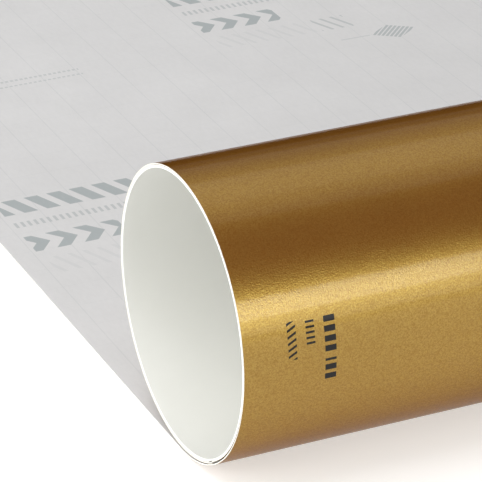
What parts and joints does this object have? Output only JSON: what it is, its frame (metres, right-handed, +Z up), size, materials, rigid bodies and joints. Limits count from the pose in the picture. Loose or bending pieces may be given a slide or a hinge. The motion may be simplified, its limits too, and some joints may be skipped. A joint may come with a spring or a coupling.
{
  "type": "roll of sign vinyl",
  "caption": "Loose roll of metallic gold sign vinyl on a thin card core, with its film run out flat behind it, liner side up.",
  "frame": {"origin": "the middle of the footprint on the floor, under the middle of the whole part's length and width", "axes": "+X along the roll's axis, away from the open end that the viewpoint faces; +Y from the roll along the film that lies flat; +Z up"},
  "size_m": [0.305, 0.4392, 0.0795],
  "materials": {
    "gold_film": "satin-gloss metallic gold cast vinyl with a fine flake",
    "adhesive": "grey-white pressure-sensitive adhesive with a faint air-channel grid",
    "release_liner": "coated white liner paper with a pale blue-grey back print",
    "core_board": "smooth white card",
    "start_tape": "double-sided tape"
  },
  "bodies": {
    "lying_sheet": {"film_sheet_end": "gold_film", "adhesive_sheet_end": "adhesive", "liner_sheet_end": "release_liner", "film_take_up": "gold_film", "adhesive_take_up": "adhesive", "liner_take_up": "release_liner"},
    "outer_turn": {"film_outer_turn": "gold_film", "adhesive_outer_turn": "adhesive", "liner_outer_turn": "release_liner"},
    "core_and_inner_turn": {"core_tube": "core_board", "core_start_tape": "start_tape", "film_inner_turn": "gold_film", "adhesive_inner_turn": "adhesive", "liner_inner_turn": "release_liner"},
    "liner_flap": {"liner_fold_flap": "release_liner"}
  },
  "joints": [
    {"name": "roll_travel", "type": "slide", "parent": "lying_sheet", "child": "outer_turn", "axis": [0, 1, 0], "range_m": [-0.2, 0.2], "deforming": ["film_take_up", "adhesive_take_up", "liner_take_up"]},
    {"name": "roll_turn", "type": "hinge", "parent": "outer_turn", "child": "core_and_inner_turn", "pos_m": [0, -0.18037, 0.04026], "axis": [1, 0, 0], "range_deg": [-293, 293]},
    {"name": "liner_peel", "type": "hinge", "parent": "lying_sheet", "child": "liner_flap", "pos_m": [0, 0.16968, 0.00029], "axis": [1, 0, 0], "range_deg": [0, 170]}
  ],
  "couplings": [
    {"joint": "roll_turn", "follows": "roll_travel", "rad_per_m": -25.471}
  ]
}
